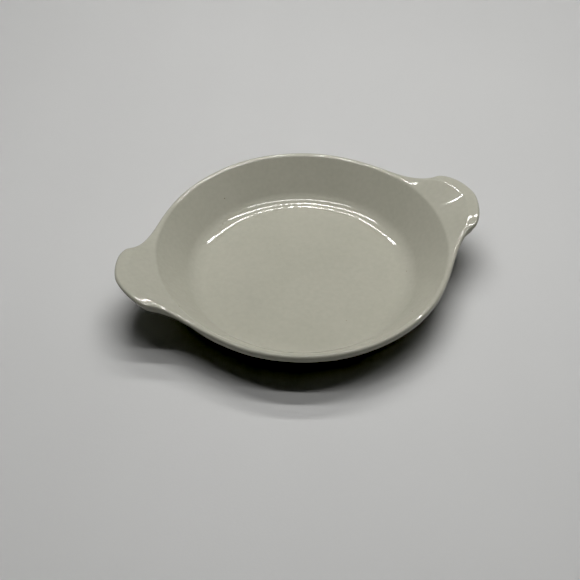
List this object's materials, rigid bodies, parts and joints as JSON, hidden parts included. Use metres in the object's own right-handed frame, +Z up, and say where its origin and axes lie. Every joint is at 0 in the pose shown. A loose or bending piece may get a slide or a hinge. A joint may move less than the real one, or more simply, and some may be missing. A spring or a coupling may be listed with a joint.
{
  "type": "lug-handled baking dish",
  "caption": "Shallow glazed stoneware baking dish: round body with flared wall, rounded rim, a lug handle at each end and a bare foot ring.",
  "frame": {"origin": "on the table, under the middle of the dish: centre of the foot ring's underside", "axes": "+Z up, out of the well; +X along the line through both lugs, towards handle_right; +Y across the dish"},
  "size_m": [0.1952, 0.1544, 0.0312],
  "materials": {
    "glaze": "glossy warm grey-white glaze with small pinholes, thinner over the edges",
    "bare_foot": "unglazed fired stoneware, fine-grained and matt"
  },
  "bodies": {
    "root": {"bowl": "glaze", "handle_right": "glaze", "handle_left": "glaze", "foot_ring": "bare_foot"}
  },
  "joints": []
}
